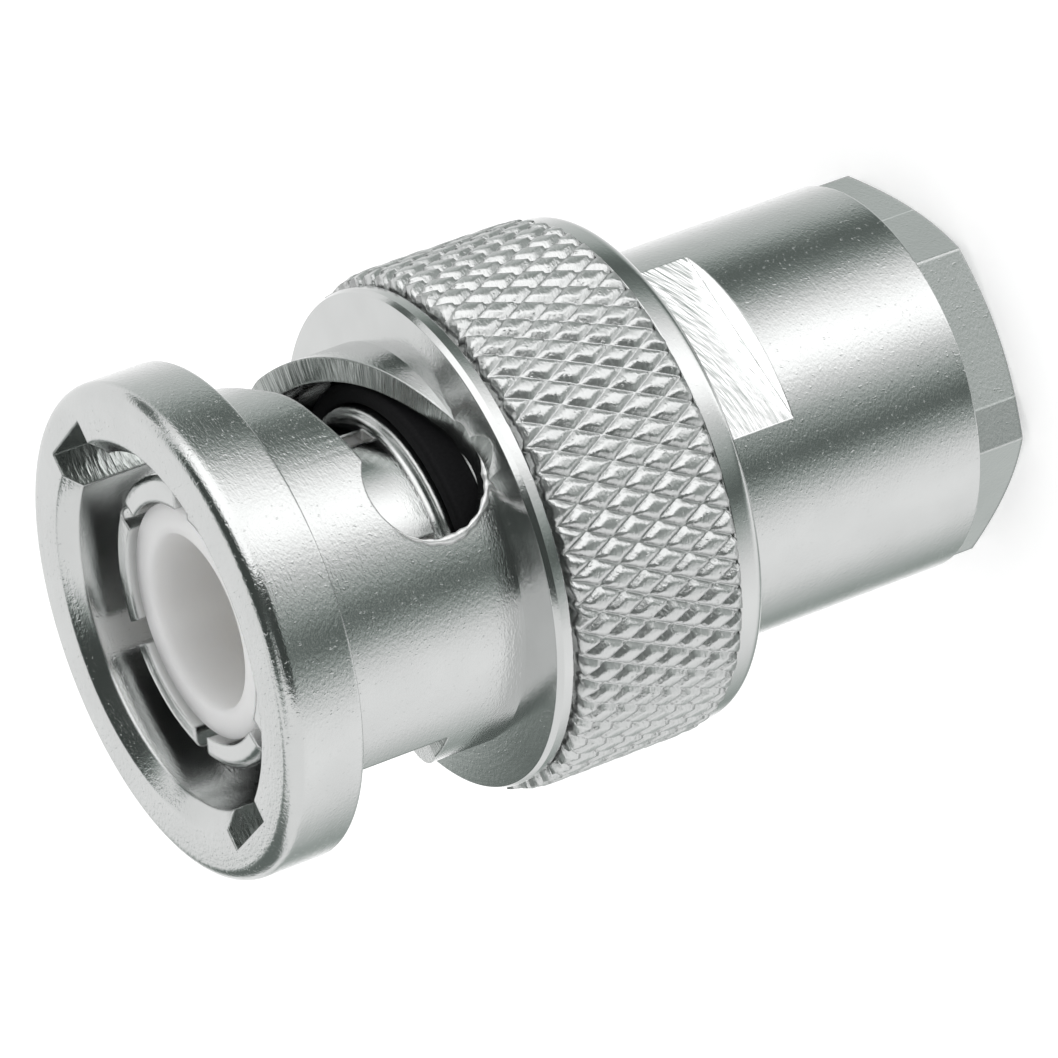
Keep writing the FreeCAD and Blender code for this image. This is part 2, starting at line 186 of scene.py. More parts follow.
class Nodes:
    """Short calls that add a node to a tree and link its inputs."""

    def __init__(self, tree):
        self.tree = tree

    def feed(self, socket, value):
        if isinstance(value, bpy.types.NodeSocket):
            self.tree.links.new(value, socket)
        elif value is not None:
            socket.default_value = value

    def math(self, operation, first, second=None):
        node = self.tree.nodes.new("ShaderNodeMath")
        node.operation = operation
        self.feed(node.inputs[0], first)
        self.feed(node.inputs[1], second)
        return node.outputs[0]

    def vector_math(self, operation, first, second=None, result="Vector"):
        node = self.tree.nodes.new("ShaderNodeVectorMath")
        node.operation = operation
        self.feed(node.inputs[0], first)
        self.feed(node.inputs[1], second)
        return node.outputs[result]

    def scaled(self, vector, factors):
        return self.vector_math("MULTIPLY", vector, factors)

    def dot(self, vector, direction):
        return self.vector_math("DOT_PRODUCT", vector, direction, "Value")

    def from_axis(self, place):
        """The distance from the plug's axis."""
        return self.vector_math("LENGTH", self.scaled(place, (1, 1, 0)), result="Value")

    def outward(self, place):
        """The direction straight out from the plug's axis."""
        return self.vector_math("NORMALIZE", self.scaled(place, (1, 1, 0)))

    def azimuth(self, vector):
        """The angle round the plug's axis in degrees, and the vector's three coordinates."""
        split = self.tree.nodes.new("ShaderNodeSeparateXYZ")
        self.feed(split.inputs[0], vector)
        turn = self.math("ARCTAN2", split.outputs["Y"], split.outputs["X"])
        return self.math("MULTIPLY", turn, DEGREES), split.outputs

    def combined(self, **coordinates):
        node = self.tree.nodes.new("ShaderNodeCombineXYZ")
        for axis, value in coordinates.items():
            self.feed(node.inputs[axis], value)
        return node.outputs[0]

    def ease(self, value, start, end, low=0.0, high=1.0):
        """A smooth step from low at start to high at end."""
        node = self.tree.nodes.new("ShaderNodeMapRange")
        node.interpolation_type = "SMOOTHSTEP"
        self.feed(node.inputs["Value"], value)
        node.inputs["From Min"].default_value = start
        node.inputs["From Max"].default_value = end
        node.inputs["To Min"].default_value = low
        node.inputs["To Max"].default_value = high
        return node.outputs["Result"]

    def between(self, value, low, high, softness):
        rise = self.ease(value, low - softness, low + softness)
        fall = self.ease(value, high - softness, high + softness, 1.0, 0.0)
        return self.math("MULTIPLY", rise, fall)

    def mix(self, factor, first, second):
        node = self.tree.nodes.new("ShaderNodeMix")
        self.feed(node.inputs[0], factor)
        self.feed(node.inputs[2], first)
        self.feed(node.inputs[3], second)
        return node.outputs[0]

    def mix_vector(self, factor, first, second):
        node = self.tree.nodes.new("ShaderNodeMix")
        node.data_type = "VECTOR"
        self.feed(node.inputs["Factor"], factor)
        self.feed(node.inputs["A"], first)
        self.feed(node.inputs["B"], second)
        return node.outputs["Result"]

    def mix_color(self, factor, first, second, blend="MIX"):
        node = self.tree.nodes.new("ShaderNodeMix")
        node.data_type = "RGBA"
        node.blend_type = blend
        self.feed(node.inputs["Factor"], factor)
        self.feed(node.inputs["A"], first)
        self.feed(node.inputs["B"], second)
        return node.outputs["Result"]

    def noise(self, vector, scale, detail=2.0, roughness=0.5):
        node = self.tree.nodes.new("ShaderNodeTexNoise")
        self.feed(node.inputs["Vector"], vector)
        node.inputs["Scale"].default_value = scale
        node.inputs["Detail"].default_value = detail
        node.inputs["Roughness"].default_value = roughness
        return node.outputs["Fac"]

    def bump(self, height, depth, normal=None, strength=None):
        node = self.tree.nodes.new("ShaderNodeBump")
        node.inputs["Distance"].default_value = depth
        self.feed(node.inputs["Strength"], strength)
        self.feed(node.inputs["Height"], height)
        self.feed(node.inputs["Normal"], normal)
        return node.outputs["Normal"]

    def rounded_edges(self, radius):
        node = self.tree.nodes.new("ShaderNodeBevel")
        node.samples = 6
        node.inputs["Radius"].default_value = radius
        return node.outputs["Normal"]

    def place(self):
        """Object coordinates in millimetres."""
        node = self.tree.nodes.new("ShaderNodeTexCoord")
        return self.scaled(node.outputs["Object"], (1 / MM, 1 / MM, 1 / MM))


def new_material(name):
    material = bpy.data.materials.new(name)
    material.use_nodes = True
    return material, material.node_tree.nodes["Principled BSDF"], Nodes(material.node_tree)


def fed_by(socket):
    """The output that feeds a shader's socket so far."""
    return socket.links[0].from_socket


def at_depth(depth):
    return total_length - depth


def rounded_section(corners):
    """The half section through (radius, depth, rounding) corners, each rounded by its own arc."""
    points = [Vector((radius, at_depth(depth))) for radius, depth, rounding in corners]
    path = []
    for index, point in enumerate(points):
        rounding = corners[index][2]
        if rounding == 0:
            path.append(point)
            continue
        back = (points[index - 1] - point).normalized()
        ahead = (points[(index + 1) % len(points)] - point).normalized()
        half_angle = back.angle(ahead) / 2
        centre = point + (back + ahead).normalized() * (rounding / math.sin(half_angle))
        start = point + back * (rounding / math.tan(half_angle)) - centre
        end = point + ahead * (rounding / math.tan(half_angle)) - centre
        sweep = math.atan2(start.x * end.y - start.y * end.x, start.dot(end))
        steps = max(3, round(abs(sweep) / math.radians(arc_step)))
        for step in range(steps + 1):
            path.append(centre + Matrix.Rotation(sweep * step / steps, 2) @ start)
    return path


def finished_mesh(mesh, name):
    """The mesh's data with every face pointing outwards."""
    mesh.normal_update()
    bmesh.ops.recalc_face_normals(mesh, faces=mesh.faces)
    if mesh.calc_volume(signed=True) < 0:
        bmesh.ops.reverse_faces(mesh, faces=mesh.faces)
    data = bpy.data.meshes.new(name)
    mesh.to_mesh(data)
    mesh.free()
    return data


def join_rings(mesh, ring, following):
    """A closed band of faces between two rings with the same number of corners."""
    for index in range(len(ring)):
        ahead = (index + 1) % len(ring)
        mesh.faces.new((ring[index], following[index], following[ahead], ring[ahead]))


def turned_mesh(name, corners):
    """A ring turned about the axis from its half section, in metres."""
    path = rounded_section(corners)
    mesh = bmesh.new()
    rings = []
    for step in range(turned_steps):
        angle = 2 * math.pi * step / turned_steps
        cosine, sine = math.cos(angle) * MM, math.sin(angle) * MM
        rings.append([
            mesh.verts.new((point.x * cosine, point.x * sine, point.y * MM)) for point in path
        ])
    for step, ring in enumerate(rings):
        join_rings(mesh, ring, rings[(step + 1) % turned_steps])
    return finished_mesh(mesh, name)


def around_axis(radius, angle, depth):
    turn = math.radians(angle)
    return Vector((radius * math.cos(turn), radius * math.sin(turn), at_depth(depth))) * MM


def turned_to(angle):
    return Matrix.Rotation(math.radians(angle), 4, "Z")


def entry_cutter(angle):
    """The groove milled along the bore's wall, from ahead of the mating face."""
    inner, outer = bore_diameter / 2 - cut_clearance, entry_floor_radius
    front_depth, rear_depth = -cut_clearance, entry_rear_depth
    mesh = bmesh.new()
    bmesh.ops.create_cube(mesh, size=1)
    length = rear_depth - front_depth
    size = Matrix.Diagonal(((outer - inner) * MM, entry_width * MM, length * MM, 1))
    centre = Vector(((outer + inner) / 2, 0, at_depth((front_depth + rear_depth) / 2))) * MM
    mesh.transform(turned_to(angle) @ Matrix.Translation(centre) @ size)
    return mesh


def detent_cutter(angle):
    """The round hole drilled straight through the wall at the ramp's end."""
    inner, outer = bore_diameter / 2 - cut_clearance, knurl_diameter / 2
    mesh = bmesh.new()
    bmesh.ops.create_cone(
        mesh, cap_ends=True, segments=detent_segments, depth=(outer - inner) * MM,
        radius1=detent_radius * MM, radius2=detent_radius * MM,
    )
    centre = Vector(((outer + inner) / 2, 0, at_depth(detent_depth))) * MM
    laid = Matrix.Rotation(math.pi / 2, 4, "Y")
    mesh.transform(turned_to(angle) @ Matrix.Translation(centre) @ laid)
    return mesh


def eased_edge(edge_points):
    """Depths along a curved edge at even angles, through the (angle, depth) pairs."""
    slopes = []
    for index in range(len(edge_points)):
        before = edge_points[max(index - 1, 0)]
        after = edge_points[min(index + 1, len(edge_points) - 1)]
        slopes.append((after[1] - before[1]) / (after[0] - before[0]))
    path = []
    for step in range(ramp_steps + 1):
        angle = edge_points[0][0] + (edge_points[-1][0] - edge_points[0][0]) * step / ramp_steps
        part = 0
        while part < len(edge_points) - 2 and angle < edge_points[part + 1][0]:
            part += 1
        (start, first), (end, last) = edge_points[part], edge_points[part + 1]
        run = end - start
        t = (angle - start) / run
        depth = (
            first * (2 * t ** 3 - 3 * t ** 2 + 1) + last * (3 * t ** 2 - 2 * t ** 3)
            + run * (
                slopes[part] * (t ** 3 - 2 * t ** 2 + t) + slopes[part + 1] * (t ** 3 - t ** 2)
            )
        )
        path.append((angle, depth))
    return path


def ramp_cutter(turn):
    """The space between the ramp's two edges, cut radially through the wall."""
    inner, outer = bore_diameter / 2 - cut_clearance, knurl_diameter / 2
    mesh = bmesh.new()
    sections = []
    edges = zip(eased_edge(ramp_front_edge), eased_edge(ramp_rear_edge))
    for (angle, front_depth), (_, rear_depth) in edges:
        sections.append([
            mesh.verts.new(around_axis(radius, angle + turn, depth))
            for radius, depth in (
                (inner, front_depth), (outer, front_depth),
                (outer, rear_depth), (inner, rear_depth),
            )
        ])
    for section, following in zip(sections, sections[1:]):
        join_rings(mesh, section, following)
    mesh.faces.new(sections[0])
    mesh.faces.new(sections[-1])
    return mesh


def milled(blank, cutters):
    """The blank object's mesh after each cut in turn; cut faces take the second material."""
    for cutter in cutters:
        data = finished_mesh(cutter, "cutter")
        for finish in blank.data.materials:
            data.materials.append(finish)
        for face in data.polygons:
            face.material_index = 1
        tool = add_object("cutter", data)
        cut = blank.modifiers.new("cut", "BOOLEAN")
        cut.operation = "DIFFERENCE"
        cut.solver = "EXACT"
        cut.object = tool
        graph = bpy.context.evaluated_depsgraph_get()
        result = bpy.data.meshes.new_from_object(blank.evaluated_get(graph))
        blank.modifiers.remove(cut)
        blank.data = result
        bpy.data.objects.remove(tool)
    return blank.data


def knurl_diamond():
    """One raised diamond of the knurl, crowned, with its share of the grooves round it."""
    crest = knurl_diameter / 2
    half_step = math.pi / knurl_columns
    half_length = (knurl_rear_depth - knurl_front_depth) / knurl_rows
    mesh = bmesh.new()
    grid = []
    for u, sink_u in zip(diamond_places, diamond_sinks):
        row = []
        for v, sink_v in zip(diamond_places, diamond_sinks):
            angle = half_step * (u + v) / 2
            radius = crest - knurl_depth * max(sink_u, sink_v)
            height = half_length * (u - v) / 2
            corner = Vector((radius * math.cos(angle), radius * math.sin(angle), height))
            row.append(mesh.verts.new(corner * MM))
        grid.append(row)
    for first, second in zip(grid, grid[1:]):
        for index in range(len(diamond_places) - 1):
            mesh.faces.new((first[index], second[index], second[index + 1], first[index + 1]))
    return finished_mesh(mesh, "knurl_diamond")


def knurl_tree(finish):
    """Copies one diamond to every row and column, dents each a little, and joins them."""
    tree = bpy.data.node_groups.new("knurl", "GeometryNodeTree")
    face = tree.interface
    face.new_socket("Geometry", in_out="INPUT", socket_type="NodeSocketGeometry")
    for label, kind in (
        ("Rows", "NodeSocketInt"), ("Columns", "NodeSocketInt"), ("Row pitch", "NodeSocketFloat"),
        ("First row height", "NodeSocketFloat"), ("First angle", "NodeSocketFloat"),
        ("Dent", "NodeSocketFloat"),
    ):
        face.new_socket(label, in_out="INPUT", socket_type=kind)
    face.new_socket("Geometry", in_out="OUTPUT", socket_type="NodeSocketGeometry")
    make = Nodes(tree)
    given = tree.nodes.new("NodeGroupInput").outputs
    result = tree.nodes.new("NodeGroupOutput").inputs

    # Even rows are half a column ahead of odd ones
    index = tree.nodes.new("GeometryNodeInputIndex").outputs[0]
    row = make.math("FLOOR", make.math("DIVIDE", index, given["Columns"]))
    column = make.math("SUBTRACT", index, make.math("MULTIPLY", row, given["Columns"]))
    ahead = make.math("MULTIPLY", make.math("MODULO", make.math("ADD", row, 1.0), 2.0), 0.5)
    step = make.math("DIVIDE", 2 * math.pi, given["Columns"])
    along = make.math("MULTIPLY", make.math("ADD", column, ahead), step)
    angle = make.math("ADD", along, given["First angle"])
    drop = make.math("MULTIPLY", row, given["Row pitch"])
    height = make.math("SUBTRACT", given["First row height"], drop)
    points = tree.nodes.new("GeometryNodePoints")
    make.feed(points.inputs["Count"], make.math("MULTIPLY", given["Rows"], given["Columns"]))
    make.feed(points.inputs["Position"], make.combined(Z=height))
    copies = tree.nodes.new("GeometryNodeInstanceOnPoints")
    make.feed(copies.inputs["Points"], points.outputs[0])
    make.feed(copies.inputs["Instance"], given["Geometry"])
    make.feed(copies.inputs["Rotation"], make.combined(Z=angle))
    solid = tree.nodes.new("GeometryNodeRealizeInstances")
    make.feed(solid.inputs["Geometry"], copies.outputs[0])
    joined = tree.nodes.new("GeometryNodeMergeByDistance")
    make.feed(joined.inputs["Geometry"], solid.outputs[0])
    joined.inputs["Distance"].default_value = knurl_weld * MM

    # Each corner moves in or out by the dents
    dents = tree.nodes.new("ShaderNodeTexNoise")
    dents.inputs["Scale"].default_value = knurl_dent_scale / MM
    dents.inputs["Detail"].default_value = 2.0
    level = make.math("SUBTRACT", dents.outputs["Fac"], 0.5)
    push = tree.nodes.new("ShaderNodeVectorMath")
    push.operation = "SCALE"
    where = tree.nodes.new("GeometryNodeInputPosition").outputs[0]
    make.feed(push.inputs[0], make.outward(where))
    make.feed(push.inputs["Scale"], make.math("MULTIPLY", level, given["Dent"]))
    moved = tree.nodes.new("GeometryNodeSetPosition")
    make.feed(moved.inputs["Geometry"], joined.outputs[0])
    make.feed(moved.inputs["Offset"], push.outputs[0])
    dressed = tree.nodes.new("GeometryNodeSetMaterial")
    make.feed(dressed.inputs["Geometry"], moved.outputs[0])
    dressed.inputs["Material"].default_value = finish
    make.feed(result[0], dressed.outputs[0])
    return tree


def knurl_rows_mesh(finish):
    """The rows of diamonds as one open sheet round the sleeve, a row longer than the knurl."""
    maker = add_object("knurl", knurl_diamond())
    made = maker.modifiers.new("knurl", "NODES")
    made.node_group = knurl_tree(finish)
    pitch = (knurl_rear_depth - knurl_front_depth) / knurl_rows
    values = {
        "Rows": knurl_rows + 1,
        "Columns": knurl_columns,
        "Row pitch": pitch * MM,
        "First row height": at_depth(knurl_front_depth) * MM,
        "First angle": math.radians(knurl_angle),
        "Dent": knurl_dent * MM,
    }
    for item in made.node_group.interface.items_tree:
        if item.in_out == "INPUT" and item.name in values:
            made[item.identifier] = values[item.name]
    graph = bpy.context.evaluated_depsgraph_get()
    data = bpy.data.meshes.new_from_object(maker.evaluated_get(graph))
    bpy.data.objects.remove(maker)
    mesh = bmesh.new()
    mesh.from_mesh(data)
    return mesh


def knurl_band(finish):
    """The knurl, cut off square, eased at its ends and closed down to its seat."""
    mesh = knurl_rows_mesh(finish)
    for depth, side in ((knurl_front_depth, 1), (knurl_rear_depth, -1)):
        everything = mesh.verts[:] + mesh.edges[:] + mesh.faces[:]
        bmesh.ops.bisect_plane(
            mesh, geom=everything, dist=1e-7, clear_outer=True,
            plane_co=(0, 0, at_depth(depth) * MM), plane_no=(0, 0, side),
        )
    for corner in mesh.verts:
        to_front = at_depth(knurl_front_depth) - corner.co.z / MM
        to_rear = corner.co.z / MM - at_depth(knurl_rear_depth)
        front_nearness = 1 - to_front / knurl_lead_in
        rear_nearness = knurl_rear_ease * (1 - to_rear / knurl_lead_in)
        nearness = max(0, front_nearness, rear_nearness)
        if nearness > 0:
            inward = 1 - knurl_lead_in_depth * nearness / (knurl_diameter / 2)
            rough = noise.noise(corner.co * (knurl_ragged_scale / MM))
            ragged = knurl_ragged_end * rough * nearness
            x, y, z = corner.co
            corner.co = Vector((x * inward, y * inward, z + ragged * MM))
    rims = [edge for edge in mesh.edges if edge.is_boundary]
    grown = bmesh.ops.extrude_edge_only(mesh, edges=rims)["geom"]
    seat = (knurl_seat_diameter / 2 - knurl_overlap) * MM
    for corner in grown:
        if isinstance(corner, bmesh.types.BMVert):
            flat = Vector((corner.co.x, corner.co.y))
            flat *= seat / flat.length
            corner.co.x, corner.co.y = flat
    bmesh.ops.bridge_loops(mesh, edges=[edge for edge in mesh.edges if edge.is_boundary])
    return finished_mesh(mesh, "knurl_band")


def burr(angle):
    """The thin ragged lip that the cutter raised round the blind side of a detent."""
    radius = neck_diameter / 2
    reach = detent_radius + burr_offset
    mesh = bmesh.new()
    rings = []
    for step in range(burr_steps + 1):
        share = step / burr_steps
        way = math.radians(burr_start + burr_sweep * share)
        turn = math.radians(angle) + math.asin(-reach * math.sin(way) / radius)
        outward = Vector((math.cos(turn), math.sin(turn), 0))
        sideways = Vector((-math.sin(turn), math.cos(turn), 0))
        away = sideways * -math.sin(way) + Vector((0, 0, -1)) * math.cos(way)
        depth = detent_depth + reach * math.cos(way)
        middle = outward * radius + Vector((0, 0, at_depth(depth)))
        taper = max(min(1, 6 * share, 3 * (1 - share)), 0.05)
        rough = 1 + burr_raggedness * noise.noise(middle * burr_ragged_scale)
        thickness = (burr_thickness - burr_thinning * share) * rough * taper
        ring = []
        for side in range(burr_sides):
            part = 2 * math.pi * side / burr_sides
            lean = away * math.cos(part) * burr_width + outward * math.sin(part)
            ring.append(mesh.verts.new((middle + lean * thickness) * MM))
        rings.append(ring)
    for ring, following in zip(rings, rings[1:]):
        join_rings(mesh, ring, following)
    mesh.faces.new(rings[0])
    mesh.faces.new(rings[-1])
    return finished_mesh(mesh, "burr")


def turned_sleeve():
    """The sleeve as it leaves the lathe, with a seat for the knurl.

    Each corner of its half section is a radius, a depth and a rounding.
    """
    bore = bore_diameter / 2
    neck = neck_diameter / 2
    rim = rim_diameter / 2
    return turned_mesh("sleeve_blank", [
        (bore + mouth_chamfer, 0, 0.05),
        (collar_diameter / 2, 0, collar_rounding),
        (collar_diameter / 2, collar_length, 0.08),
        (neck - relief_depth, collar_length, 0.02),
        (neck - relief_depth, collar_length + relief_width, 0.02),
        (neck, collar_length + 1.5 * relief_width, 0.02),
        (neck, shoulder_front_depth, 0),
        (rim - rim_chamfer, shoulder_rear_depth, 0.04),
        (rim, shoulder_rear_depth + rim_chamfer_length, 0.03),
        (rim, rim_rear_depth, 0.05),
        (knurl_seat_diameter / 2, rim_rear_depth, 0.04),
        (knurl_seat_diameter / 2, band_front_depth, 0.02),
        (band_diameter / 2, band_front_depth, 0.05),
        (band_diameter / 2, sleeve_length, band_rounding),
        (recess_diameter / 2, sleeve_length, 0.06),
        (recess_diameter / 2, body_front_depth, 0),
        (lip_bore_diameter / 2, body_front_depth, 0),
        (lip_bore_diameter / 2, lip_front_depth, 0),
        (bore, lip_front_depth, 0),
        (bore, mouth_chamfer, 0.05),
    ])


def coupling_sleeve(turned_finish, milled_finish, knurl_finish, burr_finish):
    """The bayonet sleeve: a turned ring with two milled tracks, the knurl and two burrs."""
    blank = add_object("sleeve_blank", turned_sleeve())
    for finish in (turned_finish, milled_finish, knurl_finish):
        blank.data.materials.append(finish)
    cutters = []
    for turn in (0, 180):
        cutters.append(entry_cutter(entry_angle + turn))
        cutters.append(ramp_cutter(turn))
        cutters.append(detent_cutter(detent_angle + turn))
    mesh = bmesh.new()
    mesh.from_mesh(milled(blank, cutters))
    turned_faces = len(mesh.faces)
    mesh.from_mesh(knurl_band(knurl_finish))
    knurled_faces = len(mesh.faces)
    for turn in (0, 180):
        mesh.from_mesh(burr(detent_angle + turn))
    mesh.faces.ensure_lookup_table()
    for face in mesh.faces[turned_faces:knurled_faces]:
        face.material_index = 2
    for face in mesh.faces[knurled_faces:]:
        face.material_index = 3
    for face in mesh.faces:
        face.smooth = True
    for edge in mesh.edges:
        soft = any(face.material_index > 1 for face in edge.link_faces)
        edge.smooth = soft or edge.calc_face_angle(0) < math.radians(sharp_angle)
    data = bpy.data.meshes.new("coupling_sleeve")
    mesh.to_mesh(data)
    mesh.free()
    for finish in (turned_finish, milled_finish, knurl_finish, burr_finish):
        data.materials.append(finish)
    bpy.data.objects.remove(blank)
    sleeve = add_object("bayonet_sleeve", data)
    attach(sleeve, "sleeve")
    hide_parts("coupling_sleeve")


def sandy_plate(make, place, scale):
    """The height of the satin grain: fine sand with a few proud specks."""
    sand = make.noise(make.scaled(place, (0.5, 0.5, 1)), scale, 2.0, 0.6)
    spots = make.noise(make.scaled(place, (1.3, 1.3, 1.3)), scale * 0.42, 1.0, 0.5)
    specks = make.ease(spots, 0.64, 0.8)
    return make.math("ADD", sand, make.math("MULTIPLY", specks, 0.5))


def round_lines(make, place, per_mm):
    """Noise that runs round the axis in fine lines, on a cylinder and on a face."""
    across = make.math("MULTIPLY", make.from_axis(place), per_mm)
    drift = make.scaled(place, (0.3, 0.3, per_mm))
    return make.noise(make.vector_math("ADD", make.combined(X=across), drift), 1.0, 2.0, 0.6)


def nickel_parts(
    name, color, roughness, grain_depth, edge_radius, grain_scale=17.0, line_depth=0.5, calm_from=0,
):
    """The material, shader and node maker of nickel plate over turned brass.

    It has a fine sandy grain and faint lines round the axis. Behind the depth calm_from, and in
    the bore, the plate is calmer, and edges behind that depth stay sharp.
    """
    material, shader, make = new_material(name)
    place = make.place()
    cloud = make.noise(place, 0.7, 2.0, 0.5)
    dull = (color[0] * 0.96, color[1] * 0.96, color[2] * 0.96, 1)
    tone = make.mix_color(make.ease(cloud, 0.3, 0.7), dull, (*color, 1))
    make.feed(shader.inputs["Base Color"], tone)
    shader.inputs["Metallic"].default_value = 1
    shine = make.ease(cloud, 0.2, 0.8, roughness * 0.93, roughness * 1.07)
    make.feed(shader.inputs["Roughness"], shine)
    normal = make.rounded_edges(edge_radius) if edge_radius else None
    strength = None
    if calm_from:
        plain = make.tree.nodes.new("ShaderNodeNewGeometry").outputs["Normal"]
        ahead = make.math("GREATER_THAN", make.dot(place, (0, 0, 1)), at_depth(calm_from))
        normal = make.mix_vector(ahead, plain, normal)
        outside = make.ease(make.from_axis(place), *calm_edge)
        sandy = make.math("MULTIPLY", ahead, outside)
        strength = make.ease(sandy, 0, 1, calm_strength, 1.0)
    lines = round_lines(make, place, 8.0)
    normal = make.bump(lines, grain_depth * line_depth, normal, strength)
    normal = make.bump(sandy_plate(make, place, grain_scale), grain_depth, normal, strength)
    make.feed(shader.inputs["Normal"], normal)
    return material, shader, make


def nickel(*finish, **more):
    """The plate's material alone, for a piece whose plate has no other marks."""
    return nickel_parts(*finish, **more)[0]


def wrench_flats(make, place):
    """Where the body's two wrench flats are, and the cutter's coarse curved marks on them."""
    turn = math.radians(wrench_flat_angle)
    facing = (math.cos(turn), math.sin(turn), 0)
    normal = make.tree.nodes.new("ShaderNodeTexCoord").outputs["Normal"]
    square_on = make.ease(make.math("ABSOLUTE", make.dot(normal, facing)), 0.985, 0.995)
    level = make.math("ABSOLUTE", make.dot(place, facing))
    below = make.math("LESS_THAN", level, wrench_flat_level + wrench_wall_reach)
    height = make.dot(place, (0, 0, 1))
    from_end = make.math("SUBTRACT", height, at_depth(wrench_flat_end))
    near_end = make.math("LESS_THAN", make.math("ABSOLUTE", from_end), wrench_wall_reach)
    upward_face = make.ease(make.dot(normal, (0, 0, 1)), 0.9, 0.95)
    end_wall = make.math("MULTIPLY", upward_face, near_end)
    flat = make.math("MAXIMUM", make.math("MULTIPLY", square_on, below), end_wall)

    across = make.dot(place, (-math.sin(turn), math.cos(turn), 0))
    sideways = make.math("SUBTRACT", across, sweep_centre_aside)
    upward = make.math("SUBTRACT", height, at_depth(sweep_centre_depth))
    squares = [make.math("MULTIPLY", part, part) for part in (sideways, upward)]
    reach = make.math("SQRT", make.math("ADD", *squares))
    swirl = make.combined(
        X=make.math("MULTIPLY", reach, 5.5), Y=make.math("MULTIPLY", sideways, 0.9),
    )
    return flat, make.noise(swirl, 1.0, 2.0, 0.6)


def body_plate(name, color, roughness, grain_depth, edge_radius):
    """The body's plate, turned and sandy, with milled wrench flats whose colour is lifted to near
    white as a painted sheen over their cutter marks.
    """
    material, shader, make = nickel_parts(name, color, roughness, grain_depth, edge_radius)
    flat, marks = wrench_flats(make, make.place())
    cut = make.bump(marks, 0.045 * MM, make.rounded_edges(edge_radius))
    sanded = fed_by(shader.inputs["Normal"])
    make.feed(shader.inputs["Normal"], make.mix_vector(flat, sanded, cut))
    worn = fed_by(shader.inputs["Roughness"])
    make.feed(shader.inputs["Roughness"], make.mix(flat, worn, 0.24))
    plated = fed_by(shader.inputs["Base Color"])
    # Painted sheen: the flats' colour is near white, with the cutter marks as faint darker streaks
    # in it
    marks_with_painted_sheen = make.mix_color(make.ease(marks, 0.3, 0.6), (0.86, 0.88, 0.87, 1), (1, 1, 1, 1))
    make.feed(shader.inputs["Base Color"], make.mix_color(flat, plated, marks_with_painted_sheen))
    return material


def nut_plate(name, color, roughness, grain_depth, edge_radius):
    """The nut's plate, with two painted highlight lines along its hex and a painted shade band next
    to one of them.
    """
    material, shader, make = nickel_parts(name, color, roughness, grain_depth, edge_radius)
    around, _ = make.azimuth(make.place())
    # Painted highlights: two thin white lines along the hex
    lines = make.math("MAXIMUM", *(make.between(around, *line, 0.2) for line in painted_highlight_lines))
    # Painted shade: the plate darkened towards grey in a strip next to one highlight line
    painted_shade_weight = make.math("MULTIPLY", make.between(around, *painted_shade_span, 0.3), 0.35)
    plated = fed_by(shader.inputs["Base Color"])
    with_painted_shade = make.mix_color(painted_shade_weight, plated, (0.35, 0.36, 0.355, 1))
    make.feed(shader.inputs["Base Color"], make.mix_color(lines, with_painted_shade, (1, 1, 1, 1)))
    return material


def milled_nickel(name, color, roughness, line_depth, edge_radius):
    """Plated milled walls, with lines along the cutter's axis, straight out from the plug's."""
    material, shader, make = new_material(name)
    place = make.place()
    spread = make.scaled(make.outward(place), (34, 34, 0))
    drift = make.scaled(place, (0.5, 0.5, 7))
    lines = make.noise(make.vector_math("ADD", spread, drift), 1.0, 2.0, 0.6)
    dull = (color[0] * 0.8, color[1] * 0.8, color[2] * 0.8, 1)
    tone = make.mix_color(make.ease(lines, 0.35, 0.65), dull, (*color, 1))
    make.feed(shader.inputs["Base Color"], tone)
    shader.inputs["Metallic"].default_value = 1
    shine = make.ease(lines, 0.3, 0.7, roughness * 1.2, roughness * 0.8)
    make.feed(shader.inputs["Roughness"], shine)
    normal = make.bump(lines, line_depth, make.rounded_edges(edge_radius))
    make.feed(shader.inputs["Normal"], normal)
    return material


def insulator_white():
    """Soft white plastic that lets light in, with faint turning lines."""
    material, shader, make = new_material("white_insulator")
    place = make.place()
    cloud = make.noise(place, 0.8, 2.0)
    tone = make.mix_color(cloud, (0.962, 0.97, 0.978, 1), (0.972, 0.98, 0.988, 1))
    make.feed(shader.inputs["Base Color"], tone)
    shader.inputs["Roughness"].default_value = 0.42
    shader.inputs["Specular IOR Level"].default_value = 0.35
    shader.inputs["Subsurface Weight"].default_value = 0.8
    shader.inputs["Subsurface Radius"].default_value = (0.005, 0.005, 0.005)
    shader.inputs["Subsurface Scale"].default_value = 1.0
    lines = round_lines(make, place, 5.0)
    normal = make.bump(lines, 0.006 * MM, make.rounded_edges(0.4 * MM))
    make.feed(shader.inputs["Normal"], normal)
    return material


def seal_black():
    """Matte moulded rubber with a fine grain."""
    material, shader, make = new_material("seal_rubber")
    place = make.place()
    grain = make.noise(place, 12.0, 2.0)
    tone = make.mix_color(grain, (0.006, 0.006, 0.007, 1), (0.014, 0.014, 0.015, 1))
    make.feed(shader.inputs["Base Color"], tone)
    shader.inputs["Roughness"].default_value = 0.7
    shader.inputs["Specular IOR Level"].default_value = 0.12
    make.feed(shader.inputs["Normal"], make.bump(grain, 0.006 * MM))
    return material


def tent_ring(tree, around):
    """The level of the tent's lower ring at each azimuth."""
    ring = tree.nodes.new("ShaderNodeValToRGB")
    share = tree.nodes.new("ShaderNodeMapRange")
    share.inputs["From Min"].default_value = -180
    share.inputs["From Max"].default_value = 180
    tree.links.new(around, share.inputs["Value"])
    tree.links.new(share.outputs["Result"], ring.inputs["Fac"])
    elements = ring.color_ramp.elements
    while len(elements) < len(ring_levels):
        elements.new(0.5)
    for element, (azimuth, level) in zip(elements, ring_levels):
        element.position = (azimuth + 180) / 360
        element.color = (level, level, level, 1)
    return ring.outputs["Color"]


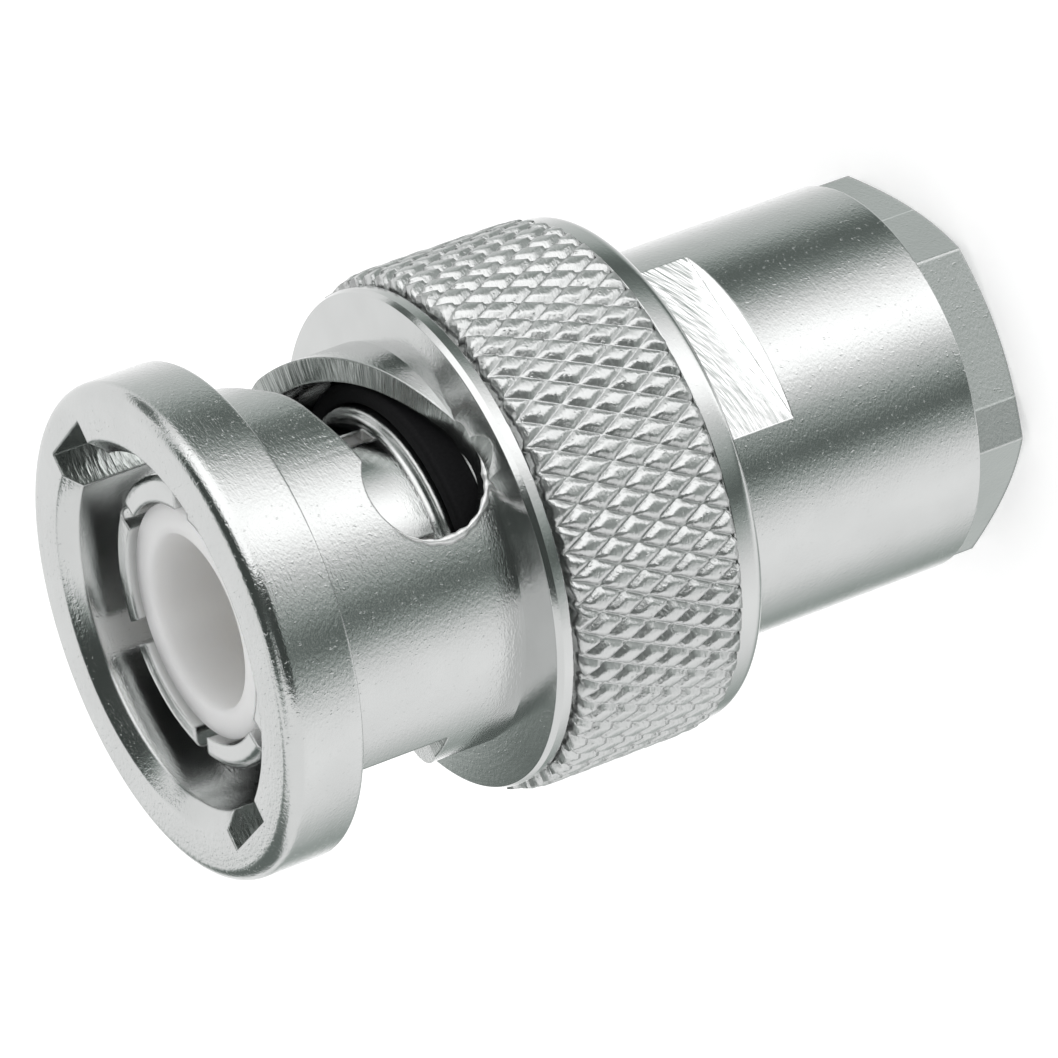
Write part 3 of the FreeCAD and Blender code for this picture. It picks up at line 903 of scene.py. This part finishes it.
def studio_world():
    """A light tent with dark cards, which only the metal's reflections see; other light is plain."""
    world = bpy.data.worlds.new("studio")
    world.use_nodes = True
    bpy.context.scene.world = world
    tree = world.node_tree
    make = Nodes(tree)
    background = tree.nodes["Background"]
    background.inputs["Strength"].default_value = 1
    direction = tree.nodes.new("ShaderNodeTexCoord").outputs["Generated"]
    around, parts = make.azimuth(direction)
    height = make.math("MULTIPLY", make.math("ARCSINE", parts["Z"]), DEGREES)

    def strip(level, shade, azimuths, heights, softness):
        sideways = make.between(around, *azimuths, softness)
        upward = make.between(height, *heights, softness)
        return make.mix(make.math("MULTIPLY", sideways, upward), level, shade)

    def card(level, shade, azimuth, elevation, half_angle, softness):
        across = math.cos(math.radians(elevation))
        middle = (
            across * math.cos(math.radians(azimuth)),
            across * math.sin(math.radians(azimuth)),
            math.sin(math.radians(elevation)),
        )
        outer = math.cos(math.radians(half_angle + softness))
        inner = math.cos(math.radians(half_angle - softness))
        return make.mix(make.ease(make.dot(direction, middle), outer, inner), level, shade)

    # The tent's upper part, then its strips and round cards: shade, azimuth, height, softness
    tent = make.mix(make.ease(height, -20, -6), tent_ring(tree, around), 0.78)
    tent = strip(tent, 0.05, (-45, 10), (-12, 50), 4)
    tent = strip(tent, 0.07, (-22, 20), (36, 95), 5)
    tent = strip(tent, 0.1, (97, 117), (-5, 33), 4)
    tent = card(tent, 0.05, 60, 76, 35, 8)
    tent = card(tent, 1.25, 45, 16, 33, 6)
    tent = strip(tent, 0.14, (-174, -129), (4, 42), 4)

    # The dark parts are a little green
    tint = make.mix_color(make.ease(tent, 0.05, 0.8), (0.86, 1.0, 0.93, 1), (1, 1, 1, 1))
    toned = make.mix_color(1.0, tint, tent, "MULTIPLY")
    bright = make.scaled(toned, (tent_level, tent_level, tent_level))
    path = tree.nodes.new("ShaderNodeLightPath")
    shown = make.mix_color(path.outputs["Is Glossy Ray"], (1, 1, 1, 1), bright)
    tree.links.new(shown, background.inputs["Color"])


def add_floor():
    """A pale matte floor, lifted to white for the camera alone."""
    mesh = bpy.data.meshes.new("floor")
    half = 0.5
    corners = [(-half, -half, 0), (half, -half, 0), (half, half, 0), (-half, half, 0)]
    mesh.from_pydata(corners, [], [(0, 1, 2, 3)])
    floor = add_object("floor", mesh)
    floor.visible_glossy = False
    material, shader, make = new_material("floor")
    shader.inputs["Base Color"].default_value = (0.94, 0.94, 0.94, 1)
    shader.inputs["Roughness"].default_value = 0.9
    shader.inputs["Specular IOR Level"].default_value = 0.0
    shader.inputs["Emission Color"].default_value = (1, 1, 1, 1)
    path = material.node_tree.nodes.new("ShaderNodeLightPath")
    lift = make.math("MULTIPLY", path.outputs["Is Camera Ray"], 0.3)
    make.feed(shader.inputs["Emission Strength"], lift)
    mesh.materials.append(material)


# Each finish: its colour, roughness, grain depth and the radius of its worn edges
sleeve_color = (0.66, 0.67, 0.665)
sleeve_nickel = nickel("sleeve_nickel", sleeve_color, 0.16, 0.009 * MM, 0.11 * MM, calm_from=7.7)
# The cut walls' darker colour is painted shade inside the bayonet cuts; their streaks are the
# cutter's marks
milled_walls_painted_shade = milled_nickel("milled_nickel", (0.5, 0.525, 0.51), 0.22, 0.03 * MM, 0.08 * MM)
knurl_nickel = nickel("knurled_nickel", (0.7, 0.71, 0.705), 0.36, 0.022 * MM, 0, 12.0, 0)
# The lip's near-white colour is a painted highlight along the detent's edge
burr_nickel_painted_highlight = nickel("burr_nickel_painted_highlight", (0.95, 0.95, 0.945), 0.5, 0.02 * MM, 0, 12.0, 0)
body_nickel = body_plate("body_nickel", sleeve_color, 0.16, 0.008 * MM, 0.05 * MM)
nut_nickel = nut_plate("nut_nickel", (0.72, 0.73, 0.725), 0.2, 0.005 * MM, 0.12 * MM)
inner_nickel = nickel("inner_nickel", sleeve_color, 0.12, 0.003 * MM, 0.13 * MM)
spring_bronze = nickel("spring_bronze", (0.62, 0.47, 0.3), 0.3, 0.006 * MM, 0.02 * MM)
pin_gold = nickel("pin_gold", (0.9, 0.74, 0.45), 0.2, 0.004 * MM, 0.02 * MM)
white_plastic = insulator_white()
black_rubber = seal_black()
node_finish = {
    "coupling_sleeve": sleeve_nickel,
    "plug_body": body_nickel,
    "gland_nut": nut_nickel,
    "outer_contact": inner_nickel,
    "thrust_washer": inner_nickel,
    "gland_washer": inner_nickel,
    "braid_clamp": inner_nickel,
    "wave_washer_front": spring_bronze,
    "wave_washer_rear": spring_bronze,
    "centre_contact": pin_gold,
    "front_insulator": white_plastic,
    "rear_insulator": white_plastic,
    "interface_gasket": black_rubber,
    "cable_gasket": black_rubber,
}
for name, node in nodes.items():
    for slot in node.material_slots:
        slot.material = node_finish[name]

# The springs flatten on the contact's flange as the sleeve is pushed on; here each only gets its own
# copy of its mesh
for name in ("wave_washer_front", "wave_washer_rear"):
    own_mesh(nodes[name])
coupling_sleeve(sleeve_nickel, milled_walls_painted_shade, knurl_nickel, burr_nickel_painted_highlight)

bpy.context.scene.view_settings.view_transform = "Standard"
studio_world()
add_floor()
add_camera()
